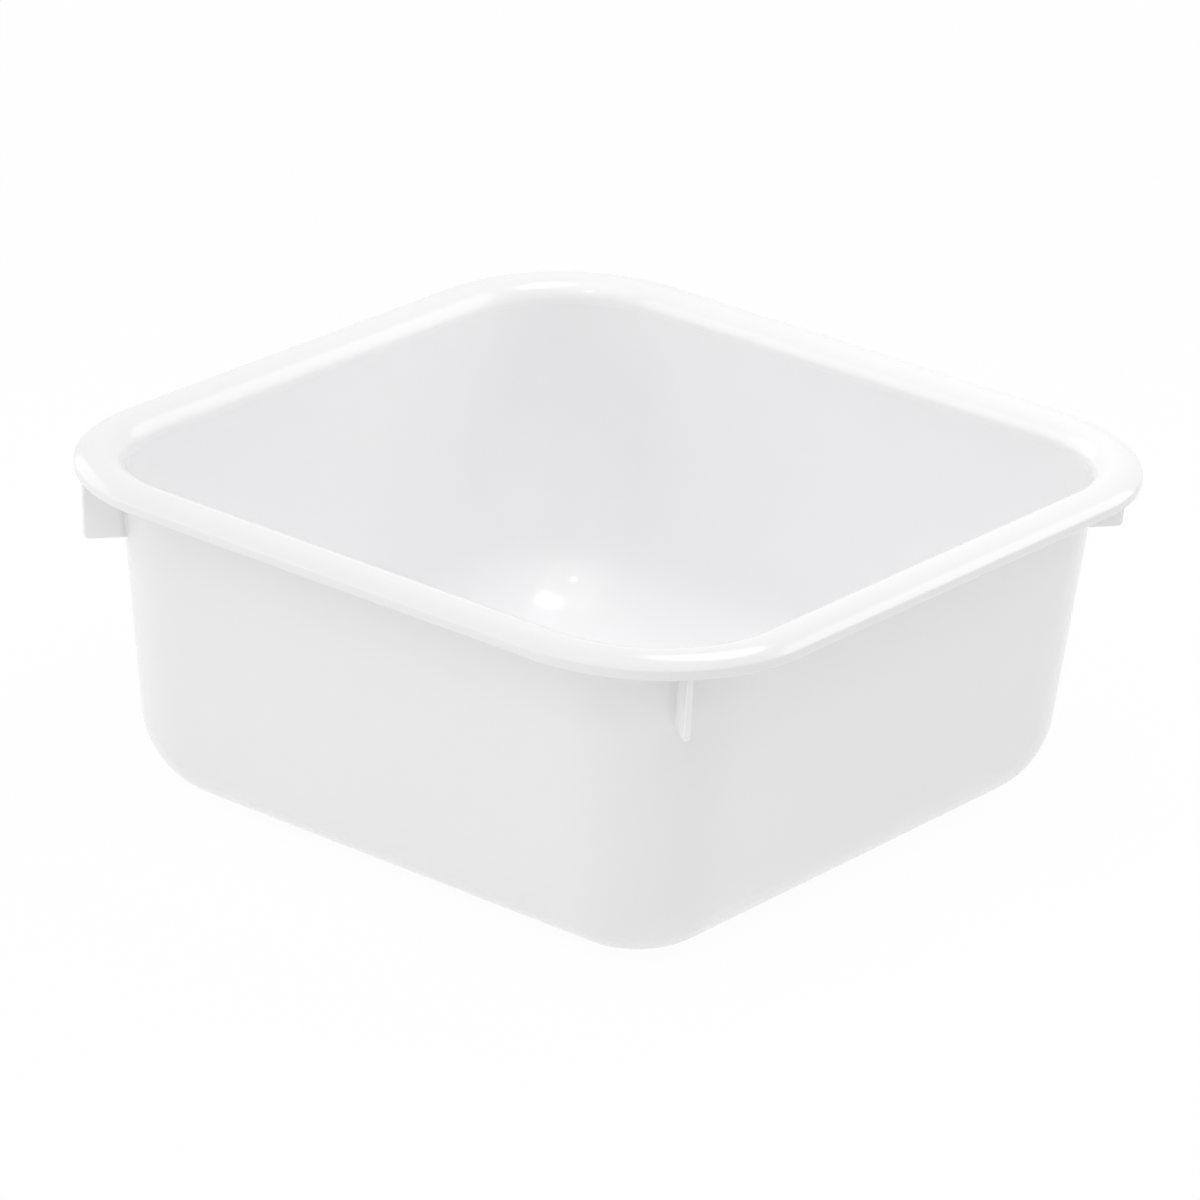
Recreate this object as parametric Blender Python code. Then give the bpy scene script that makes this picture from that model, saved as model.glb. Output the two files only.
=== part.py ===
"""Square washing-up basin: one thin plastic moulding, made here as its bowl, its rolled rim and four corner ribs.

Metres, +Z up. The basin stands on Z = 0 with its centre on the Z axis and its sides along X and Y.
"""

from math import acos, atan, cos, pi, radians, sin, tan

import bmesh
import bpy

# Outline
RIM_SIDE = 0.310
HEIGHT = 0.132
RIM_CORNER_RADIUS = 0.0648

# Walls and floor
WALL = 0.002
WALL_DRAFT = radians(5.6)
BOTTOM_RADIUS = 0.036
FLOOR_CORNER_RADIUS = 0.0054

# The floor's middle is pushed up, so that the basin stands on a ring and never rocks
STANDING_RING = 0.010
PUSH_UP = 0.001
PUSH_UP_SLOPE = 0.005
PANEL_CORNER_RADIUS = 0.022

# Low round mark that the moulding's gate leaves in the middle of the underside
GATE_MARK_RADIUS = 0.003
GATE_MARK_HEIGHT = 0.0005

# Section of the rim, from the wall out to the lip
RIM_OVERHANG = 0.0162
RIM_INNER_RADIUS = 0.0088
ROLL_DROP = 0.0045
RIM_EDGE_RADIUS = 0.0012
LIP_DEPTH = 0.0074
LIP_EDGE_RADIUS = 0.0007

# Upright ribs under the rim's corners, turned a little from the diagonals
RIB_TURN = radians(7)
RIB_THICKNESS = 0.0024
RIB_DEPTH = 0.0315
RIB_EDGE_DRAFT = radians(2.4)
RIB_CORNER_RADIUS = 0.002

# The rim starts at this depth below its crest, on the straight wall
RIM_ROOT_DEPTH = 0.009
GAP = 0.0003

# Facets, and the angle past which an edge is shaded sharp
CORNER_STEPS = 16
BOTTOM_STEPS = 12
INNER_ROLL_STEPS = 7
OUTER_ROLL_STEPS = 8
UNDER_ROLL_STEPS = 6
SMALL_ROUND_STEPS = 3
SHARP_ANGLE = radians(35)
SAME_POINT = 0.000001

# Worked out from the sizes above. An inset is measured inwards from the rim's outermost line.
HALF = RIM_SIDE / 2
CORNER_CENTRE = HALF - RIM_CORNER_RADIUS
ROOT_Z = HEIGHT - RIM_ROOT_DEPTH
ROLL_CENTRE_Z = HEIGHT - RIM_INNER_RADIUS
UNDER_RADIUS = RIM_INNER_RADIUS - WALL
CREST_INSET = RIM_OVERHANG - UNDER_RADIUS * cos(WALL_DRAFT)
EDGE_ANGLE = pi / 2 - 2 * atan((ROLL_DROP - RIM_EDGE_RADIUS) / (CREST_INSET - RIM_EDGE_RADIUS))
CREST_RADIUS = RIM_EDGE_RADIUS + (CREST_INSET - RIM_EDGE_RADIUS) / cos(EDGE_ANGLE)
WALL_TOP_Z = ROLL_CENTRE_Z + UNDER_RADIUS * sin(WALL_DRAFT)
WALL_FOOT_Z = BOTTOM_RADIUS * (1 - sin(WALL_DRAFT))
FLAT_HALF = (
    HALF
    - RIM_OVERHANG
    - WALL_TOP_Z * tan(WALL_DRAFT)
    - BOTTOM_RADIUS * tan((pi / 2 - WALL_DRAFT) / 2)
)


def clear_scene():
    for obj in list(bpy.data.objects):
        bpy.data.objects.remove(obj)


def angles(first, last, steps):
    return [first + (last - first) * i / steps for i in range(steps + 1)]


def white_plastic(name):
    """glossy white polypropylene"""
    material = bpy.data.materials.new(name)
    material.use_nodes = True
    shader = material.node_tree.nodes["Principled BSDF"]
    shader.inputs["Base Color"].default_value = (0.86, 0.86, 0.87, 1)
    shader.inputs["Roughness"].default_value = 0.3
    shader.inputs["Metallic"].default_value = 0
    return material


def add_object(name, bm):
    """turns the mesh being built into a smooth-shaded object with its own material"""
    bmesh.ops.remove_doubles(bm, verts=bm.verts, dist=SAME_POINT)
    bmesh.ops.recalc_face_normals(bm, faces=bm.faces)
    mesh = bpy.data.meshes.new(name)
    bm.to_mesh(mesh)
    bm.free()
    mesh.shade_smooth()
    mesh.set_sharp_from_angle(angle=SHARP_ANGLE)
    mesh.materials.append(white_plastic(name))
    obj = bpy.data.objects.new(name, mesh)
    bpy.context.scene.collection.objects.link(obj)
    return obj


def wall_inset(z):
    """inset of the wall's outer face"""
    return RIM_OVERHANG + (WALL_TOP_Z - z) * tan(WALL_DRAFT)


def wall_ring(z, depth):
    """outline of the wall at one height: (half width, corner radius, z). Depth 0 is the outer face.

    The corners open out a little towards the foot, where they meet the bottom's own corner radius.
    """
    inset = wall_inset(z)
    foot_radius = FLOOR_CORNER_RADIUS + BOTTOM_RADIUS * cos(WALL_DRAFT)
    foot_ease = foot_radius - (RIM_CORNER_RADIUS - wall_inset(WALL_FOOT_Z))
    ease = foot_ease * (WALL_TOP_Z - z) / (WALL_TOP_Z - WALL_FOOT_Z)
    inset += depth / cos(WALL_DRAFT)
    return HALF - inset, RIM_CORNER_RADIUS - inset + ease, z


def bottom_rings(depth):
    """outlines of the large radius between the floor and the walls, from the floor up"""
    radius = BOTTOM_RADIUS - depth
    return [
        (FLAT_HALF + radius * sin(a), FLOOR_CORNER_RADIUS + radius * sin(a), BOTTOM_RADIUS - radius * cos(a))
        for a in angles(0, pi / 2 - WALL_DRAFT, BOTTOM_STEPS)
    ]


def floor_rings(depth):
    """outlines of the raised middle panel and of its slope down to the standing ring"""
    ring_half = FLAT_HALF - STANDING_RING
    panel = (ring_half - PUSH_UP_SLOPE, PANEL_CORNER_RADIUS - PUSH_UP_SLOPE, PUSH_UP + depth)
    return [panel, (ring_half, PANEL_CORNER_RADIUS, depth)]


def gate_mark_rings():
    """outlines of the gate mark under the panel, from its end face up"""
    return [(GATE_MARK_RADIUS, GATE_MARK_RADIUS, z) for z in (PUSH_UP - GATE_MARK_HEIGHT, PUSH_UP)]


def rim_ring(inset, z):
    return HALF - inset, RIM_CORNER_RADIUS - inset, z


def inner_roll(radius):
    """(inset, z) up the round edge between the wall and the crest, from the wall"""
    return [
        (CREST_INSET + radius * cos(a), ROLL_CENTRE_Z + radius * sin(a))
        for a in angles(WALL_DRAFT, pi / 2, INNER_ROLL_STEPS)
    ]


def outer_roll(depth, steps):
    """(inset, z) down the large arc from the crest, at a depth under the surface

    Near the surface it ends at the rim's round edge. Deeper down it runs on to the lip's inner face.
    """
    radius = CREST_RADIUS - depth
    last = EDGE_ANGLE if depth < RIM_EDGE_RADIUS else acos((CREST_INSET - depth) / radius)
    return [
        (CREST_INSET - radius * cos(a), HEIGHT - CREST_RADIUS + radius * sin(a))
        for a in angles(pi / 2, last, steps)
    ]


def round_edge():
    """(inset, z) round the rim's outer edge, from the large arc down to the lip's outer face"""
    return [
        (RIM_EDGE_RADIUS * (1 - cos(a)), HEIGHT - ROLL_DROP + RIM_EDGE_RADIUS * sin(a))
        for a in angles(EDGE_ANGLE, 0, SMALL_ROUND_STEPS)
    ]


def lip_edge():
    """(inset, z) round the lip's lower edge, from its inner face to its outer face"""
    z = HEIGHT - LIP_DEPTH + LIP_EDGE_RADIUS
    inner = [
        (WALL - LIP_EDGE_RADIUS + LIP_EDGE_RADIUS * cos(a), z - LIP_EDGE_RADIUS * sin(a))
        for a in angles(0, pi / 2, SMALL_ROUND_STEPS)
    ]
    outer = [
        (LIP_EDGE_RADIUS - LIP_EDGE_RADIUS * sin(a), z - LIP_EDGE_RADIUS * cos(a))
        for a in angles(0, pi / 2, SMALL_ROUND_STEPS)
    ]
    return inner + outer


def add_ring(bm, half, radius, z):
    """the points of a square with round corners, lying flat at one height"""
    verts = []
    for corner in range(4):
        turn = corner * pi / 2
        for a in angles(0, pi / 2, CORNER_STEPS):
            x = half - radius + radius * cos(a)
            y = half - radius + radius * sin(a)
            verts.append(bm.verts.new((x * cos(turn) - y * sin(turn), x * sin(turn) + y * cos(turn), z)))
    return verts


def bridge(bm, ring, following):
    """a strip of faces between two outlines, point to point"""
    for i in range(len(ring)):
        bm.faces.new((ring[i - 1], ring[i], following[i], following[i - 1]))


def loft(bm, outlines):
    """joins the outlines in their order with strips of faces, and returns their points"""
    rings = [add_ring(bm, *outline) for outline in outlines]
    for ring, following in zip(rings, rings[1:]):
        bridge(bm, ring, following)
    return rings


def make_bowl():
    """floor and walls: up the outside, over the walls' top edge and down the inside"""
    top = ROOT_Z - GAP / 2
    outside = gate_mark_rings() + floor_rings(0) + bottom_rings(0) + [wall_ring(top, 0)]
    inside = floor_rings(WALL) + bottom_rings(WALL) + [wall_ring(top, WALL)]
    bm = bmesh.new()
    rings = loft(bm, outside + inside[::-1])
    bm.faces.new(rings[0])
    bm.faces.new(rings[-1])
    return add_object("basin_bowl", bm)


def make_rim():
    """the wall's last few millimetres, rolled outwards and down to a free lip, open underneath"""
    root = ROOT_Z + GAP / 2
    section = inner_roll(UNDER_RADIUS)
    section += outer_roll(WALL, UNDER_ROLL_STEPS)[1:]
    section += lip_edge()
    section += round_edge()[:0:-1]
    section += outer_roll(0, OUTER_ROLL_STEPS)[::-1]
    section += inner_roll(RIM_INNER_RADIUS)[-2::-1]
    outlines = [wall_ring(root, 0)] + [rim_ring(*point) for point in section] + [wall_ring(root, WALL)]
    bm = bmesh.new()
    rings = loft(bm, outlines)
    bridge(bm, rings[-1], rings[0])
    return add_object("rolled_rim", bm)


def wall_reach(z):
    """distance along a rib from the centre of the rim's corner to the wall's outer face"""
    half, radius, _ = wall_ring(z, 0)
    shift = half - radius - CORNER_CENTRE
    rib_angle = pi / 4 + RIB_TURN
    return radius + shift * (cos(rib_angle) + sin(rib_angle))


def rib_outline():
    """(outward, z) round one rib: up the wall, along the underside of the rim, down inside the lip"""
    foot = HEIGHT - RIB_DEPTH
    wall_side = [(wall_reach(z) + GAP, z) for z in (foot, WALL_TOP_Z)]
    under_rim = inner_roll(UNDER_RADIUS - GAP)[1:] + outer_roll(WALL + GAP, UNDER_ROLL_STEPS)[1:]
    outline = wall_side + [(RIM_CORNER_RADIUS - inset, z) for inset, z in under_rim]
    lip_x = RIM_CORNER_RADIUS - WALL - GAP
    lip_z = HEIGHT - LIP_DEPTH
    outline.append((lip_x, lip_z))
    round_z = foot + RIB_CORNER_RADIUS
    touch_z = round_z - RIB_CORNER_RADIUS * sin(RIB_EDGE_DRAFT)
    touch_x = lip_x - (lip_z - touch_z) * tan(RIB_EDGE_DRAFT)
    round_x = touch_x - RIB_CORNER_RADIUS * cos(RIB_EDGE_DRAFT)
    outline += [
        (round_x + RIB_CORNER_RADIUS * cos(a), round_z - RIB_CORNER_RADIUS * sin(a))
        for a in angles(RIB_EDGE_DRAFT, pi / 2, SMALL_ROUND_STEPS)
    ]
    return outline


def make_rib(name, corner_angle):
    """one upright rib, its outline drawn in the local XZ plane and thickened evenly to both sides"""
    bm = bmesh.new()
    side = bm.faces.new([bm.verts.new((x, -RIB_THICKNESS / 2, z)) for x, z in rib_outline()])
    extruded = bmesh.ops.extrude_face_region(bm, geom=[side])
    moved = [item for item in extruded["geom"] if isinstance(item, bmesh.types.BMVert)]
    bmesh.ops.translate(bm, verts=moved, vec=(0, RIB_THICKNESS, 0))
    rib = add_object(name, bm)
    distance = CORNER_CENTRE * 2**0.5
    rib.location = (distance * cos(corner_angle), distance * sin(corner_angle), 0)
    rib.rotation_euler.z = corner_angle + RIB_TURN
    return rib


def main():
    clear_scene()
    make_bowl()
    make_rim()
    for quarter, corner in enumerate(("right", "back", "left", "front")):
        make_rib(f"corner_rib_{corner}", pi / 4 + quarter * pi / 2)


main()
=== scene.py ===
from math import acos, atan, cos, pi, radians, sin, tan

import bmesh
import bpy
from mathutils import Matrix, Vector


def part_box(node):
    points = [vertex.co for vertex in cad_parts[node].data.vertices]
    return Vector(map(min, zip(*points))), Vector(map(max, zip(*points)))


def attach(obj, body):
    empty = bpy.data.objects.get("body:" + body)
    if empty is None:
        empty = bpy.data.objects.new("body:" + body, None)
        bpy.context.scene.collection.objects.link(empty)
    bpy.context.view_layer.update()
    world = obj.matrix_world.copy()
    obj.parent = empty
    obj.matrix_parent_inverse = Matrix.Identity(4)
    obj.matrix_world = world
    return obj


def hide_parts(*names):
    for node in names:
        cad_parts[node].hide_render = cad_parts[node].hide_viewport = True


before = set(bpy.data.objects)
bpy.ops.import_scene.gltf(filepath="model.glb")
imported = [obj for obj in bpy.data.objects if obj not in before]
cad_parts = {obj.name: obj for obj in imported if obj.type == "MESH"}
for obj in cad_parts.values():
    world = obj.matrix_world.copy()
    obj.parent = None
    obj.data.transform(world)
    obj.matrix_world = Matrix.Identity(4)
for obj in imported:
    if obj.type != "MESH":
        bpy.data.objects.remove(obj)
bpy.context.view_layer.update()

# A square washing-up basin in white plastic, standing on a pale studio floor. It is one moulding, dressed
# here in its parts: the bowl, the rolled rim and the four ribs under the rim's corners. Sizes are metres,
# with +Z up and the basin's middle on the Z axis.
scene = bpy.context.scene
scene.view_settings.view_transform = "Standard"


# Camera: in front of the basin's near corner, a little above it and far off with a long lens, so that the
# sides hardly converge. It leans to one side, which sets the standing edges a little off plumb.
CAMERA_AIM = Vector((-0.0043, 0.0027, 0.0716))
CAMERA_AZIMUTH = radians(38.20)
CAMERA_ELEVATION = radians(22.56)
CAMERA_DISTANCE = 2.6707
CAMERA_LEAN = radians(2.70)
LENS_MM = 221.3
SENSOR_WIDTH_MM = 36


def direction(azimuth, elevation):
    """unit vector away from the basin: azimuth from the front towards +X, elevation from level"""
    return Vector((sin(azimuth) * cos(elevation), -cos(azimuth) * cos(elevation), sin(elevation)))


towards_camera = direction(CAMERA_AZIMUTH, CAMERA_ELEVATION)
camera = bpy.data.objects.new("camera", bpy.data.cameras.new("camera"))
camera.data.lens = LENS_MM
camera.data.sensor_width = SENSOR_WIDTH_MM
camera.location = CAMERA_AIM + CAMERA_DISTANCE * towards_camera
facing = towards_camera.to_track_quat("Z", "Y").to_matrix() @ Matrix.Rotation(CAMERA_LEAN, 3, "Z")
camera.rotation_euler = facing.to_euler()
scene.collection.objects.link(camera)
scene.camera = camera


# Bowl: floor and four flaring walls, 2 mm thick, injection moulded in white polypropylene from a gate in the
# middle of the floor. The wall meets the floor in a large radius, and its corners open out towards the floor.
rim_low, rim_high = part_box("rolled_rim")
HALF = rim_high.x
HEIGHT = rim_high.z
RIM_CORNER_RADIUS = 0.0648
WALL = 0.002
WALL_DRAFT = radians(5.6)
BOTTOM_RADIUS = 0.036
FLOOR_CORNER_RADIUS = 0.0054
RIM_OVERHANG = 0.0162
RIM_INNER_RADIUS = 0.0088
STANDING_RING = 0.010
PUSH_UP = 0.001
PUSH_UP_SLOPE = 0.005
FLOOR_TOP_Z = PUSH_UP + WALL
PANEL_CORNER_RADIUS = 0.022
GATE_MARK_RADIUS = 0.003
GATE_MARK_HEIGHT = 0.0005
SEAM_Z = (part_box("basin_bowl")[1].z + rim_low.z) / 2

ROLL_CENTRE_Z = HEIGHT - RIM_INNER_RADIUS
UNDER_RADIUS = RIM_INNER_RADIUS - WALL
WALL_TOP_Z = ROLL_CENTRE_Z + UNDER_RADIUS * sin(WALL_DRAFT)
WALL_FOOT_Z = BOTTOM_RADIUS * (1 - sin(WALL_DRAFT))
FLAT_HALF = (
    HALF
    - RIM_OVERHANG
    - WALL_TOP_Z * tan(WALL_DRAFT)
    - BOTTOM_RADIUS * tan((pi / 2 - WALL_DRAFT) / 2)
)
CORNER_STEPS = 40
SIDE_STEPS = 12
WALL_STEPS = 24
BEND_STEPS = 36
PANEL_STEPS = 10
GATE_MARK_STEPS = 4
WELD_DISTANCE = 0.000001
SHARP_ANGLE = radians(40)

WARM_WHITE = (0.946, 0.942, 0.945, 1)
COOL_WHITE = (0.935, 0.935, 0.947, 1)
TINT_LENGTH = 0.09
PLASTIC_IOR = 1.49
GLOSS = 0.10
DULL = 0.42
BLOTCH_LENGTH = 0.02
BLOTCH_DULLNESS = 0.05
GRAIN_LENGTH = 0.0015
GRAIN_DULLNESS = 0.03
WAVE_LENGTH = 0.026
WAVE_HEIGHT = 0.00007
PEEL_LENGTH = 0.0035
PEEL_HEIGHT = 0.000004

SCUFF_HEADING = radians(35)
SCUFF_STRETCH = 14
SCUFF_WIDTH = 0.0012
SCUFF_RANGE = (0.5, 0.62)
SCUFF_DEPTH = 0.000004
SCUFF_DULLNESS = 0.5
STANDING_DULLNESS = 0.4
RUBBING_HEADING = radians(-50)
RUBBING_STRETCH = 20
RUBBING_WIDTH = 0.0009
RUBBING_RANGE = (0.6, 0.68)
RUBBING_DULLNESS = 0.15
BLUSH_RADIUS = 0.03
BLUSH_CORE = 0.004
BLUSH_DULLNESS = 0.2
FLOOR_FADE = 0.0013
FLOOR_MARGIN = 0.0002
FLOW_RING_SPACING = 0.006
FLOW_RING_HEIGHT = 0.0000015


def steps(first, last, count):
    """evenly spaced values from first to last, both included"""
    return [first + (last - first) * i / count for i in range(count + 1)]


def square_ring(bm, half, radius, z):
    """the points of a square with round corners, at one height"""
    ring = []
    centre = half - radius
    for corner in range(4):
        turn = Matrix.Rotation(corner * pi / 2, 3, "Z")
        side = [(half, y) for y in steps(-centre, centre, SIDE_STEPS)[1:-1]]
        quarter_turn = steps(0, pi / 2, CORNER_STEPS)
        arc = [(centre + radius * cos(a), centre + radius * sin(a)) for a in quarter_turn]
        ring += [bm.verts.new(turn @ Vector((x, y, z))) for x, y in side + arc]
    return ring


def skin(bm, outlines):
    """strips of faces from each outline to the next, point to point"""
    rings = [square_ring(bm, *outline) for outline in outlines]
    for ring, following in zip(rings, rings[1:]):
        for i in range(len(ring)):
            bm.faces.new((ring[i - 1], ring[i], following[i], following[i - 1]))
    return rings


def wall_outline(z, depth):
    """outline of the wall at one height and at a depth under its outer face"""
    inset = RIM_OVERHANG + (WALL_TOP_Z - z) * tan(WALL_DRAFT)
    foot_inset = RIM_OVERHANG + (WALL_TOP_Z - WALL_FOOT_Z) * tan(WALL_DRAFT)
    foot_ease = FLOOR_CORNER_RADIUS + BOTTOM_RADIUS * cos(WALL_DRAFT) - RIM_CORNER_RADIUS + foot_inset
    ease = foot_ease * (WALL_TOP_Z - z) / (WALL_TOP_Z - WALL_FOOT_Z)
    inset += depth / cos(WALL_DRAFT)
    return HALF - inset, RIM_CORNER_RADIUS - inset + ease, z


def bottom_outlines(depth):
    """outlines of the large radius from the standing ring up to the foot of the wall"""
    radius = BOTTOM_RADIUS - depth
    outlines = []
    for a in steps(0, pi / 2 - WALL_DRAFT, BEND_STEPS):
        out = radius * sin(a)
        outlines.append((FLAT_HALF + out, FLOOR_CORNER_RADIUS + out, BOTTOM_RADIUS - radius * cos(a)))
    return outlines


def panel_outlines(depth):
    """outlines of the soft step from the pushed-up panel down to the standing ring"""
    outlines = []
    for t in steps(0, 1, PANEL_STEPS):
        out = PUSH_UP_SLOPE * (t - 1)
        rise = PUSH_UP * (1 - t * t * (3 - 2 * t))
        outlines.append((FLAT_HALF - STANDING_RING + out, PANEL_CORNER_RADIUS + out, rise + depth))
    return outlines


def gate_mark_outlines():
    """outlines of the mark under the panel, from its flat end over a small round edge up to the panel"""
    edge = GATE_MARK_HEIGHT / 2
    rounded = [
        (GATE_MARK_RADIUS - edge + edge * sin(a), PUSH_UP - GATE_MARK_HEIGHT + edge - edge * cos(a))
        for a in steps(0, pi / 2, GATE_MARK_STEPS)
    ]
    return [(r, r, z) for r, z in rounded + [(GATE_MARK_RADIUS, PUSH_UP)]]


class Wire:
    """a value that varies, on a node's output socket; arithmetic on it adds Math nodes to the tree"""

    def __init__(self, tree, socket=None):
        self.tree = tree
        self.socket = socket

    def node(self, kind, settings, values, output=0):
        """adds a node of any type: its settings first, then the values or links of its sockets"""
        made = self.tree.nodes.new("ShaderNode" + kind)
        for name, setting in settings.items():
            setattr(made, name, setting)
        inputs = [socket for socket in made.inputs if socket.enabled]
        outputs = [socket for socket in made.outputs if socket.enabled]
        for name, value in values.items():
            socket = inputs[name] if isinstance(name, int) else next(s for s in inputs if s.name == name)
            if isinstance(value, Wire):
                self.tree.links.new(value.socket, socket)
            else:
                socket.default_value = value
        return Wire(self.tree, outputs[output] if isinstance(output, int) else made.outputs[output])

    def maths(self, operation, *values):
        """one Math node, with this value among the values that it takes"""
        return self.node("Math", {"operation": operation}, dict(enumerate(values)))

    def __add__(self, other):
        return self.maths("ADD", self, other)

    def __sub__(self, other):
        return self.maths("SUBTRACT", self, other)

    def __rsub__(self, other):
        return self.maths("SUBTRACT", other, self)

    def __mul__(self, other):
        return self.maths("MULTIPLY", self, other)

    def __truediv__(self, other):
        return self.maths("DIVIDE", self, other)

    def __rtruediv__(self, other):
        return self.maths("DIVIDE", other, self)

    __radd__ = __add__
    __rmul__ = __mul__

    def sine(self):
        return self.maths("SINE", self)

    def larger(self, other):
        return self.maths("MAXIMUM", self, other)

    def ramp(self, start, end):
        """goes smoothly from 0 at start to 1 at end, which may be the lower of the two"""
        values = {"Value": self, "From Min": start, "From Max": end}
        return self.node("MapRange", {"interpolation_type": "SMOOTHSTEP"}, values)

    def cloud(self, length, detail=2):
        """at this place, a soft random pattern from 0 to 1 with features about one length across"""
        return self.node("TexNoise", {}, {"Vector": self, "Scale": 1 / length, "Detail": detail})

    def streaked(self, heading, stretch):
        """this place with its patterns drawn out along a heading on the level"""
        turned = self.node("Mapping", {}, {"Vector": self, "Rotation": (0, 0, -heading)})
        return self.node("VectorMath", {"operation": "MULTIPLY"}, {0: turned, 1: (1 / stretch, 1, 1)})


def white_plastic(name, marks):
    """glossy white polypropylene; marks turns a place and its z into how dull and how high it is there"""
    material = bpy.data.materials.new(name)
    material.use_nodes = True
    tree = material.node_tree
    shader = tree.nodes["Principled BSDF"]
    shader.inputs["IOR"].default_value = PLASTIC_IOR
    place = Wire(tree).node("TexCoord", {}, {}, "Object")
    z = place.node("SeparateXYZ", {}, {0: place}, "Z")
    dullness, height = marks(place, z)
    colours = {"Factor": place.cloud(TINT_LENGTH), "A": WARM_WHITE, "B": COOL_WHITE}
    tint = place.node("Mix", {"data_type": "RGBA"}, colours)
    satin = BLOTCH_DULLNESS * place.cloud(BLOTCH_LENGTH, detail=3)
    satin += GRAIN_DULLNESS * place.cloud(GRAIN_LENGTH)
    roughness = GLOSS + satin + (DULL - GLOSS) * dullness
    flow = WAVE_HEIGHT * place.cloud(WAVE_LENGTH, detail=1) + PEEL_HEIGHT * place.cloud(PEEL_LENGTH)
    bump = place.node("Bump", {}, {"Height": height + flow, "Distance": 1})
    tree.links.new(tint.socket, shader.inputs["Base Color"])
    tree.links.new(roughness.socket, shader.inputs["Roughness"])
    tree.links.new(bump.socket, shader.inputs["Normal"])
    return material


def moulded(name, bm, material):
    """closes off the mesh being built: one smooth piece that rides on the basin's only body"""
    bmesh.ops.remove_doubles(bm, verts=bm.verts, dist=WELD_DISTANCE)
    bmesh.ops.recalc_face_normals(bm, faces=bm.faces)
    mesh = bpy.data.meshes.new(name)
    bm.to_mesh(mesh)
    bm.free()
    mesh.shade_smooth()
    mesh.set_sharp_from_angle(angle=SHARP_ANGLE)
    mesh.materials.append(material)
    piece = bpy.data.objects.new(name, mesh)
    scene.collection.objects.link(piece)
    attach(piece, "root")
    return piece


def bowl_marks(place, z):
    """scuffs under the standing ring, faint rubbing over the floor, and flow rings round the gate"""
    scuffs = place.streaked(SCUFF_HEADING, SCUFF_STRETCH).cloud(SCUFF_WIDTH).ramp(*SCUFF_RANGE)
    rubbing = place.streaked(RUBBING_HEADING, RUBBING_STRETCH).cloud(RUBBING_WIDTH).ramp(*RUBBING_RANGE)
    standing = z.ramp(PUSH_UP / 2, 0)
    on_floor = z.ramp(FLOOR_TOP_Z + FLOOR_MARGIN + FLOOR_FADE, FLOOR_TOP_Z + FLOOR_MARGIN)
    from_gate = place.node("VectorMath", {"operation": "LENGTH"}, {0: place}, "Value")
    blush = from_gate.ramp(BLUSH_RADIUS, BLUSH_CORE) * on_floor
    flow_rings = (from_gate * (2 * pi / FLOW_RING_SPACING)).sine()
    dullness = standing * (STANDING_DULLNESS + SCUFF_DULLNESS * scuffs)
    dullness += on_floor * RUBBING_DULLNESS * rubbing + BLUSH_DULLNESS * blush
    return dullness, FLOW_RING_HEIGHT * flow_rings * blush - SCUFF_DEPTH * scuffs * standing


wall_heights = steps(WALL_FOOT_Z, SEAM_Z, WALL_STEPS)[1:]
outside = gate_mark_outlines() + panel_outlines(0) + bottom_outlines(0)
outside += [wall_outline(z, 0) for z in wall_heights]
inside = panel_outlines(WALL) + bottom_outlines(WALL) + [wall_outline(z, WALL) for z in wall_heights]
bm = bmesh.new()
bowl_rings = skin(bm, outside + inside[::-1])
bm.faces.new(bowl_rings[0])
bm.faces.new(bowl_rings[-1])
bowl = moulded("bowl", bm, white_plastic("bowl_plastic", bowl_marks))
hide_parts("basin_bowl")


# Rim: the top of the wall rolls outwards over a round inner edge, falls in a large arc to a small round
# outer edge and ends in a free lip, open underneath. It is one with the bowl, so the seam between them shows
# no line.
ROLL_DROP = 0.0045
RIM_EDGE_RADIUS = 0.0012
LIP_DEPTH = 0.0074
LIP_EDGE_RADIUS = 0.0007
CREST_INSET = RIM_OVERHANG - UNDER_RADIUS * cos(WALL_DRAFT)
EDGE_ANGLE = pi / 2 - 2 * atan((ROLL_DROP - RIM_EDGE_RADIUS) / (CREST_INSET - RIM_EDGE_RADIUS))
CREST_RADIUS = RIM_EDGE_RADIUS + (CREST_INSET - RIM_EDGE_RADIUS) / cos(EDGE_ANGLE)
PARTING_WIDTH = 0.00018
PARTING_HEIGHT = 0.000008
PARTING_DULLNESS = 0.15
LIP_END_DULLNESS = 0.6
UNDER_ROLL_STEPS = 16
UNDER_CREST_STEPS = 20
LIP_EDGE_STEPS = 6
RIM_EDGE_STEPS = 12
CREST_STEPS = 28
INNER_ROLL_STEPS = 24


def arc_points(inset, z, radius, first, last, count):
    """(inset, z) along an arc round one centre; its angle is 0 outwards and a quarter turn upwards"""
    return [(inset - radius * cos(a), z + radius * sin(a)) for a in steps(first, last, count)]


def inner_roll(radius, count):
    """(inset, z) from the wall up round the rim's inner edge to the crest"""
    return arc_points(CREST_INSET, ROLL_CENTRE_Z, radius, pi - WALL_DRAFT, pi / 2, count)


def outer_roll(depth, count):
    """(inset, z) from the crest out and down the large arc, at a depth under the surface"""
    radius = CREST_RADIUS - depth
    last = EDGE_ANGLE if depth < RIM_EDGE_RADIUS else acos((CREST_INSET - depth) / radius)
    return arc_points(CREST_INSET, HEIGHT - CREST_RADIUS, radius, pi / 2, last, count)


def rim_marks(place, z):
    """the duller end of the lip, and the fine line that the mould's parting leaves round the outer edge"""
    off_line = (z - (HEIGHT - ROLL_DROP)) / PARTING_WIDTH
    line = 1 / (1 + off_line * off_line)
    lip_end = z.ramp(HEIGHT - LIP_DEPTH + LIP_EDGE_RADIUS, HEIGHT - LIP_DEPTH)
    return LIP_END_DULLNESS * lip_end + PARTING_DULLNESS * line, PARTING_HEIGHT * line


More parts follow.
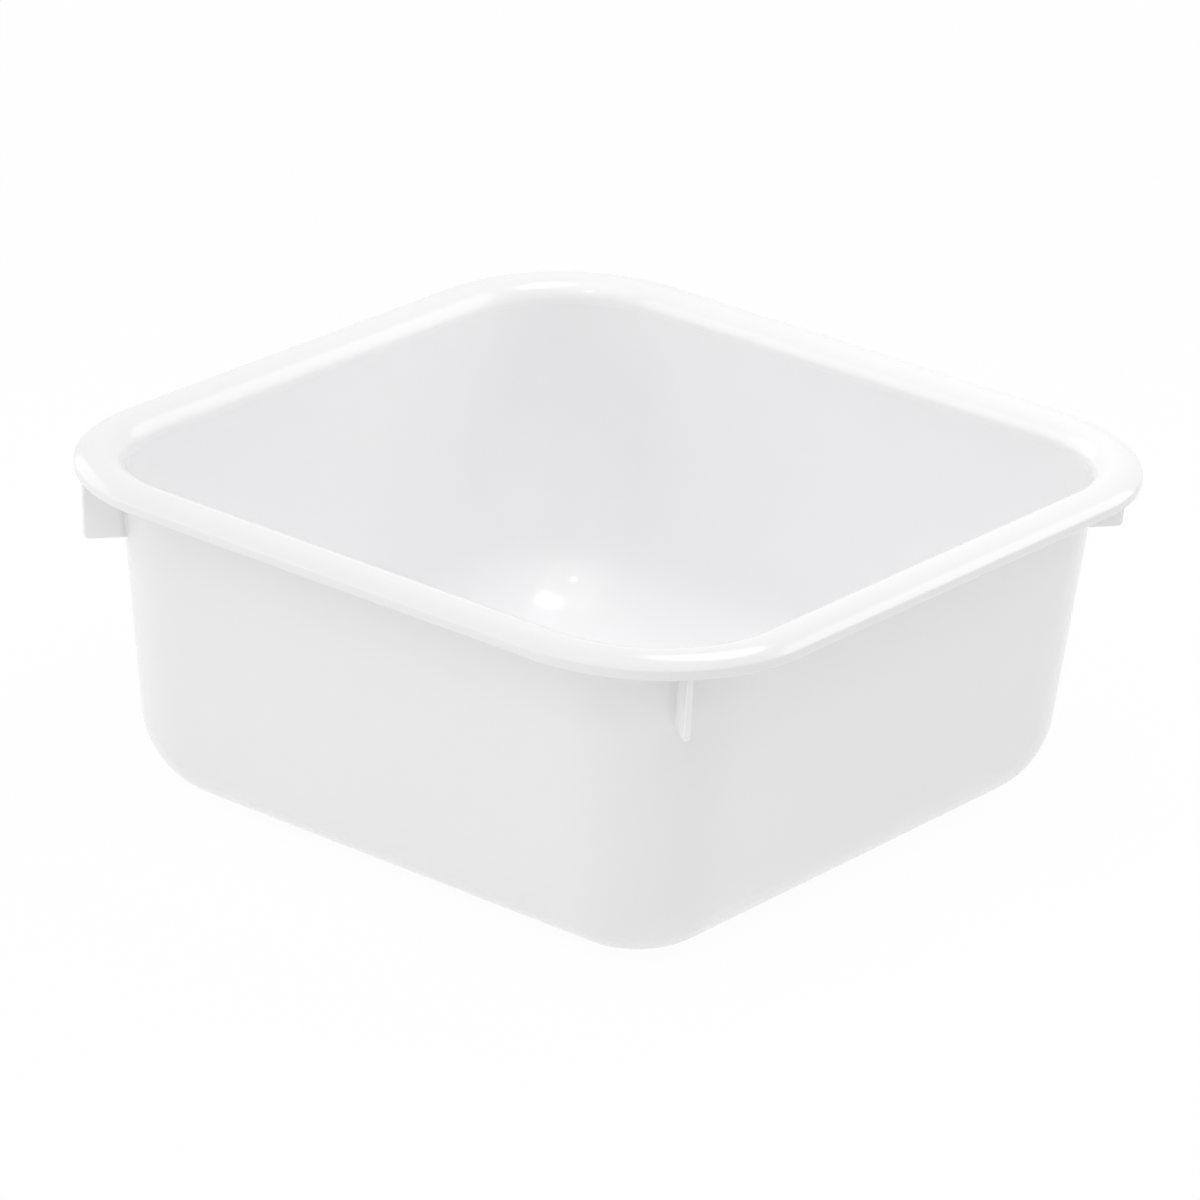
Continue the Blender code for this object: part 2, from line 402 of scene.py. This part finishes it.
lip_foot = HEIGHT - LIP_DEPTH
lip_end_z = lip_foot + LIP_EDGE_RADIUS
section = inner_roll(UNDER_RADIUS, UNDER_ROLL_STEPS) + outer_roll(WALL, UNDER_CREST_STEPS)[1:]
section += arc_points(WALL - LIP_EDGE_RADIUS, lip_end_z, LIP_EDGE_RADIUS, pi, 3 * pi / 2, LIP_EDGE_STEPS)
section += arc_points(LIP_EDGE_RADIUS, lip_end_z, LIP_EDGE_RADIUS, -pi / 2, 0, LIP_EDGE_STEPS)
section += arc_points(RIM_EDGE_RADIUS, HEIGHT - ROLL_DROP, RIM_EDGE_RADIUS, 0, EDGE_ANGLE, RIM_EDGE_STEPS)
section += outer_roll(0, CREST_STEPS)[-2::-1] + inner_roll(RIM_INNER_RADIUS, INNER_ROLL_STEPS)[-2::-1]
rim_outlines = [(HALF - inset, RIM_CORNER_RADIUS - inset, z) for inset, z in section]
seam_outside = wall_outline(SEAM_Z, 0)
seam_inside = wall_outline(SEAM_Z, WALL)
bm = bmesh.new()
skin(bm, [seam_outside] + rim_outlines + [seam_inside, seam_outside])
rim = moulded("rim", bm, white_plastic("rim_plastic", rim_marks))
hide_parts("rolled_rim")


# Ribs: one upright web under each corner of the rim, to stiffen it. Each is moulded in one with the wall, the
# rim and the lip, turned a little off the corner's diagonal, and thin enough for some light to pass.
RIB_TURN = radians(7)
RIB_THICKNESS = 0.0024
RIB_DEPTH = 0.0315
RIB_EDGE_DRAFT = radians(2.4)
RIB_CORNER_RADIUS = 0.002
RIB_EDGE_RADIUS = 0.0003
RIB_ROOT_RADIUS = 0.0005
RIB_BEDDING = 0.0001
RIB_GLOW = 0.5
RIB_GLOW_DEPTH = 0.007
RIB_FOOT_Z = HEIGHT - RIB_DEPTH
CORNER_CENTRE = HALF - RIM_CORNER_RADIUS
LIP_INNER_X = RIM_CORNER_RADIUS - WALL
LEAST_MITRE_COSINE = 0.5
RIB_ROOT_STEPS = 12
RIB_LIP_STEPS = 4
RIB_CORNER_STEPS = 8
RIB_EDGE_STEPS = 5
PATCH_LENGTH = 0.004
PATCH_RANGE = (0.45, 0.75)
PATCH_DULLNESS = 0.25
SLOT_GRAIN_LENGTH = 0.0012
SLOT_GRAIN_HEIGHT = 0.000002


def wall_reach(z):
    """how far along a rib the wall's outer face lies from the centre of the rim's corner"""
    half, radius, _ = wall_outline(z, 0)
    rib_angle = pi / 4 + RIB_TURN
    return radius + (half - radius - CORNER_CENTRE) * (cos(rib_angle) + sin(rib_angle))


def joined_edge():
    """(outward, z) up a rib's root on the wall, round under the rim and down inside the lip"""
    up_wall = steps(RIB_FOOT_Z + RIB_ROOT_RADIUS, WALL_TOP_Z, RIB_ROOT_STEPS)
    points = [(wall_reach(z), z) for z in up_wall]
    under_rim = inner_roll(UNDER_RADIUS, RIB_ROOT_STEPS)[1:] + outer_roll(WALL, RIB_ROOT_STEPS)[1:]
    points += [(RIM_CORNER_RADIUS - inset, z) for inset, z in under_rim]
    down_lip = steps(points[-1][1], lip_end_z, RIB_LIP_STEPS)[1:]
    return points + [(LIP_INNER_X, z) for z in down_lip]


def free_edge():
    """(outward, z) down a rib's outer edge, round its lower corner and back along its foot to the wall"""
    top_x = LIP_INNER_X - RIB_ROOT_RADIUS / 2
    round_z = RIB_FOOT_Z + RIB_CORNER_RADIUS
    touch_z = round_z - RIB_CORNER_RADIUS * sin(RIB_EDGE_DRAFT)
    touch_x = top_x - (lip_foot - touch_z) * tan(RIB_EDGE_DRAFT)
    round_x = touch_x - RIB_CORNER_RADIUS * cos(RIB_EDGE_DRAFT)
    corner = [
        (round_x + RIB_CORNER_RADIUS * cos(a), round_z - RIB_CORNER_RADIUS * sin(a))
        for a in steps(RIB_EDGE_DRAFT, pi / 2, RIB_CORNER_STEPS)
    ]
    return [(top_x, lip_foot)] + corner + [(wall_reach(RIB_FOOT_Z) + RIB_ROOT_RADIUS, RIB_FOOT_Z)]


def inward(outline, i):
    """which way and how far one point of an outline goes for an even inset of 1"""
    before = (outline[i] - outline[i - 1]).normalized()
    after = (outline[(i + 1) % len(outline)] - outline[i]).normalized()
    middle = (before + after).normalized()
    return Vector((middle.y, -middle.x)) / max(middle.dot(before), LEAST_MITRE_COSINE)


def make_rib(name, corner_angle):
    """one rib, in rings from the middle of its edge out to each flat side: a root fillet or a rounded edge"""
    half = RIB_THICKNESS / 2
    turn = steps(0, pi / 2, RIB_EDGE_STEPS)
    root = [(-RIB_BEDDING, 0), (-RIB_BEDDING, half + RIB_ROOT_RADIUS)]
    root += [(RIB_ROOT_RADIUS * (1 - cos(a)), half + RIB_ROOT_RADIUS * (1 - sin(a))) for a in turn[1:]]
    edge = [(0, 0)]
    edge += [(RIB_EDGE_RADIUS * (1 - cos(a)), half - RIB_EDGE_RADIUS * (1 - sin(a))) for a in turn]
    joined = joined_edge()
    outline = [Vector(point) for point in joined + free_edge()]
    profiles = [root if i < len(joined) else edge for i in range(len(outline))]
    bm = bmesh.new()
    for way in (1, -1):
        rings = []
        for k in range(len(root)):
            ring = []
            for i, profile in enumerate(profiles):
                inset, side = profile[k]
                x, z = outline[i] + inset * inward(outline, i)
                ring.append(bm.verts.new((x, way * side, z)))
            rings.append(ring)
        for ring, following in zip(rings, rings[1:]):
            for i in range(len(ring)):
                face = bm.faces.new((ring[i - 1], ring[i], following[i], following[i - 1]))
                face.material_index = int(root in (profiles[i - 1], profiles[i]))
        bm.faces.new(rings[-1])
    out = CORNER_CENTRE * 2**0.5
    to_corner = Matrix.Translation((out * cos(corner_angle), out * sin(corner_angle), 0))
    turned = Matrix.Rotation(corner_angle + RIB_TURN, 4, "Z")
    bmesh.ops.transform(bm, matrix=to_corner @ turned, verts=bm.verts)
    rib = moulded(name, bm, rib_plastic)
    rib.data.materials.append(root_plastic)
    return rib


def rib_marks(place, z):
    """a little uneven gloss from the narrow slot in the mould"""
    patches = place.cloud(PATCH_LENGTH).ramp(*PATCH_RANGE)
    return PATCH_DULLNESS * patches, SLOT_GRAIN_HEIGHT * place.cloud(SLOT_GRAIN_LENGTH)


# The root fillets have the wall, the rim or the lip behind them, so their plastic lets no light through.
root_plastic = white_plastic("rib_root_plastic", rib_marks)
rib_plastic = white_plastic("rib_plastic", rib_marks)
thin_shader = rib_plastic.node_tree.nodes["Principled BSDF"]
thin_shader.inputs["Subsurface Weight"].default_value = RIB_GLOW
thin_shader.inputs["Subsurface Radius"].default_value = (1, 1, 1)
thin_shader.inputs["Subsurface Scale"].default_value = RIB_GLOW_DEPTH
for quarter, corner in enumerate(("right", "back", "left", "front")):
    rib = make_rib(f"rib_{corner}", pi / 4 + quarter * pi / 2)
    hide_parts(f"corner_rib_{corner}")


# Floor: a wide sheet of white card, lit a little from below as a product table is. To the camera and in the
# plastic's gloss it is lifted towards plain white, and it keeps the basin's shadow.
FLOOR_HALF = 6
FLOOR_CLEARANCE = 0.0001
CARD_WHITE = (0.9, 0.9, 0.9, 1)
CARD_GLOW = 0.135
CARD_SEGMENTS = 8
LIFT_TO_WHITE = 0.95


def seen_plainly(tree):
    """1 for the camera's own rays and for those sent on by gloss or through something clear, otherwise 0"""
    camera_ray, glossy_ray, clear_ray = (
        Wire(tree).node("LightPath", {}, {}, f"Is {kind} Ray")
        for kind in ("Camera", "Glossy", "Transmission")
    )
    return camera_ray.larger(glossy_ray).larger(clear_ray)


bm = bmesh.new()
bmesh.ops.create_grid(bm, x_segments=CARD_SEGMENTS, y_segments=CARD_SEGMENTS, size=FLOOR_HALF)
card = bpy.data.meshes.new("floor")
bm.to_mesh(card)
bm.free()
floor = bpy.data.objects.new("floor", card)
floor.location.z = -FLOOR_CLEARANCE
scene.collection.objects.link(floor)
card_paint = bpy.data.materials.new("white_card")
card_paint.use_nodes = True
tree = card_paint.node_tree
shader = tree.nodes["Principled BSDF"]
shader.inputs["Base Color"].default_value = CARD_WHITE
shader.inputs["Roughness"].default_value = 1
shader.inputs["Specular IOR Level"].default_value = 0
shader.inputs["Emission Color"].default_value = (1, 1, 1, 1)
shader.inputs["Emission Strength"].default_value = CARD_GLOW
lit_card = Wire(tree, shader.outputs[0])
plain_white = lit_card.node("Emission", {}, {"Strength": 1})
lifted = lit_card.node("MixShader", {}, {0: LIFT_TO_WHITE * seen_plainly(tree), 1: lit_card, 2: plain_white})
tree.links.new(lifted.socket, tree.nodes["Material Output"].inputs[0])
card.materials.append(card_paint)


# Light: a white studio all round, wide soft boxes about as bright to look at as the studio, one lamp hung
# over the basin's far side that shows as the highlight on the near rim, and one small lamp high in front.
STUDIO_LEVEL = 0.405
LAMP_AIM = Vector((0, 0, 0.1))

world = bpy.data.worlds.new("studio")
world.use_nodes = True
scene.world = world
tree = world.node_tree
background = tree.nodes["Background"]
background.inputs["Color"].default_value = (1, 1, 1, 1)
level = STUDIO_LEVEL + (1 - STUDIO_LEVEL) * seen_plainly(tree)
tree.links.new(level.socket, background.inputs["Strength"])


def soft_lamp(name, azimuth, elevation, distance, width, power):
    """a round soft box that points at the basin; the angles are in degrees and the power in watts"""
    towards = direction(radians(azimuth), radians(elevation))
    lamp = bpy.data.lights.new(name, "AREA")
    lamp.shape = "DISK"
    lamp.size = width
    lamp.energy = power
    box = bpy.data.objects.new(name, lamp)
    box.location = LAMP_AIM + distance * towards
    box.rotation_euler = towards.to_track_quat("Z", "Y").to_euler()
    box.visible_camera = False
    scene.collection.objects.link(box)


soft_lamp("front_box", azimuth=30, elevation=62, distance=2.8, width=4.0, power=30)
soft_lamp("front_left_box", azimuth=-42, elevation=22, distance=2.2, width=1.4, power=6)
soft_lamp("left_box", azimuth=-85, elevation=12, distance=2.6, width=2.4, power=13.5)
soft_lamp("back_right_box", azimuth=152, elevation=25, distance=2.6, width=2.0, power=13)
soft_lamp("hanging_lamp", azimuth=150, elevation=73, distance=0.53, width=0.29, power=0.62)
soft_lamp("small_lamp", azimuth=25, elevation=50, distance=1.8, width=0.10, power=0.9)
